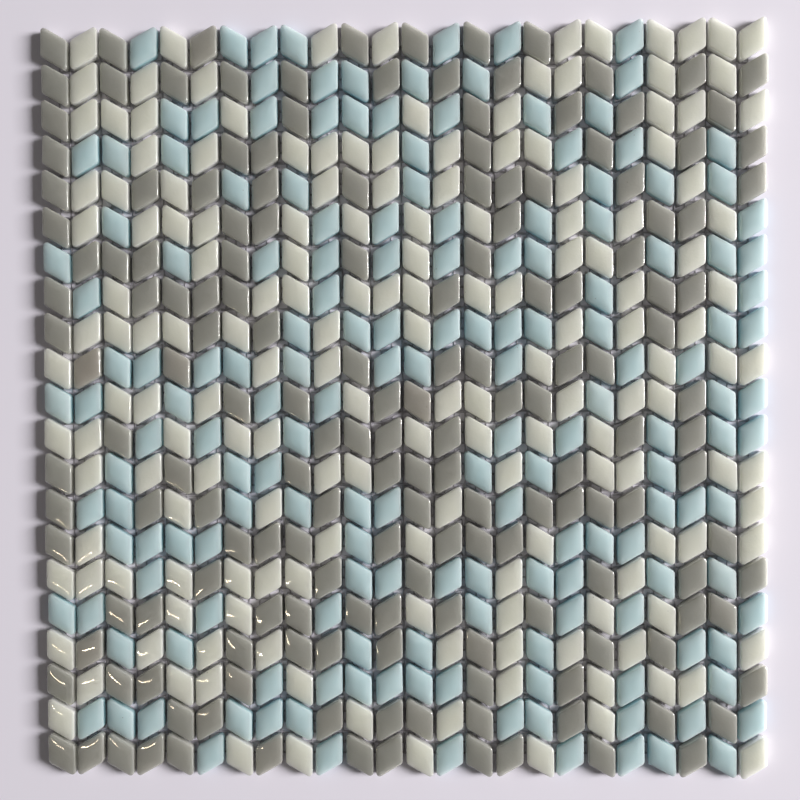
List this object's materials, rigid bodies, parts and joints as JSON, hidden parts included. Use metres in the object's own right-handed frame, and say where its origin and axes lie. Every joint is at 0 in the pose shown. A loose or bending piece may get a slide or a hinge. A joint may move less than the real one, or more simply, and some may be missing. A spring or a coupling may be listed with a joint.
{
  "type": "chevron mosaic tile sheet",
  "caption": "Mesh-backed mosaic sheet of rhombus glass chips in three colours, laid in chevrons with open joints, for tiling a wall.",
  "frame": {"origin": "under the middle of the sheet, on the surface that it lies on", "axes": "+X across the upright columns of chips, +Y up along them, +Z out of the glazed face"},
  "size_m": [0.2846, 0.2967, 0.0044],
  "materials": {
    "grey_glass": "gloss",
    "cream_glass": "gloss",
    "blue_glass": "satin",
    "fibreglass_net": "matte"
  },
  "bodies": {
    "root": {"chevron_strip_01_grey_chips": "grey_glass", "chevron_strip_01_cream_chips": "cream_glass", "chevron_strip_01_blue_chips": "blue_glass", "chevron_strip_02_grey_chips": "grey_glass", "chevron_strip_02_cream_chips": "cream_glass", "chevron_strip_02_blue_chips": "blue_glass", "chevron_strip_03_grey_chips": "grey_glass", "chevron_strip_03_cream_chips": "cream_glass", "chevron_strip_03_blue_chips": "blue_glass", "chevron_strip_04_grey_chips": "grey_glass", "chevron_strip_04_cream_chips": "cream_glass", "chevron_strip_04_blue_chips": "blue_glass", "chevron_strip_05_grey_chips": "grey_glass", "chevron_strip_05_cream_chips": "cream_glass", "chevron_strip_05_blue_chips": "blue_glass", "chevron_strip_06_grey_chips": "grey_glass", "chevron_strip_06_cream_chips": "cream_glass", "chevron_strip_06_blue_chips": "blue_glass", "chevron_strip_07_grey_chips": "grey_glass", "chevron_strip_07_cream_chips": "cream_glass", "chevron_strip_07_blue_chips": "blue_glass", "chevron_strip_08_grey_chips": "grey_glass", "chevron_strip_08_cream_chips": "cream_glass", "chevron_strip_08_blue_chips": "blue_glass", "chevron_strip_09_grey_chips": "grey_glass", "chevron_strip_09_cream_chips": "cream_glass", "chevron_strip_09_blue_chips": "blue_glass", "chevron_strip_10_grey_chips": "grey_glass", "chevron_strip_10_cream_chips": "cream_glass", "chevron_strip_10_blue_chips": "blue_glass", "chevron_strip_11_grey_chips": "grey_glass", "chevron_strip_11_cream_chips": "cream_glass", "chevron_strip_11_blue_chips": "blue_glass", "chevron_strip_12_grey_chips": "grey_glass", "chevron_strip_12_cream_chips": "cream_glass", "chevron_strip_12_blue_chips": "blue_glass", "net_lengthways_strands": "fibreglass_net", "net_crossways_strands": "fibreglass_net"}
  },
  "joints": []
}
